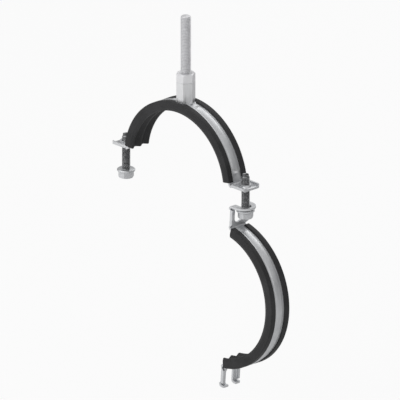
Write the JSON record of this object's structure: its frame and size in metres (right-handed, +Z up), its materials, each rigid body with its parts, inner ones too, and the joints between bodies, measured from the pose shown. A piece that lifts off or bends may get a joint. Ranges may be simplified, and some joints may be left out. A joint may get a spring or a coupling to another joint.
{
  "type": "duct clamp",
  "caption": "Hinged duct clamp with a ribbed rubber lining, hung from a threaded rod, with a swing-down lower half held by flange screws.",
  "frame": {"origin": "the duct's centre in the upper half, midway across the band", "axes": "+X from the latch side to the hinge side along the parting plane, +Y along the duct to the back, +Z up along the rod"},
  "size_m": [0.2194, 0.0234, 0.3528],
  "materials": {
    "zinc_band": "bright zinc plate on rolled steel strip",
    "lining_rubber": "matt black extruded rubber",
    "zinc_screw": "zinc plate on cold formed steel",
    "zinc_boss": "zinc plate on turned hexagon steel",
    "zinc_rod": "dull grey zinc plate"
  },
  "bodies": {
    "upper_half": {"upper_band": "zinc_band", "upper_lining": "lining_rubber", "hanger_boss": "zinc_boss", "threaded_rod": "zinc_rod"},
    "lock_nut": {"lock_nut": "zinc_rod"},
    "latch_screw": {"latch_screw": "zinc_screw"},
    "hinge_screw": {"hinge_screw": "zinc_screw"},
    "lower_half": {"lower_band": "zinc_band", "lower_lining": "lining_rubber"}
  },
  "joints": [
    {"name": "latch_screw_drive", "type": "slide", "parent": "upper_half", "child": "latch_screw", "axis": [0, 0, -1], "range_m": [-0.0072, 0]},
    {"name": "hinge_screw_drive", "type": "slide", "parent": "upper_half", "child": "hinge_screw", "axis": [0, 0, -1], "range_m": [-0.003, 0]},
    {"name": "lower_half_swing", "type": "hinge", "parent": "hinge_screw", "child": "lower_half", "pos_m": [0.0835, 0, -0.022], "axis": [0, -1, 0], "range_deg": [-85.7, 4.3]},
    {"name": "lock_nut_travel", "type": "slide", "parent": "upper_half", "child": "lock_nut", "axis": [0, 0, 1], "range_m": [0, 0.04]}
  ]
}
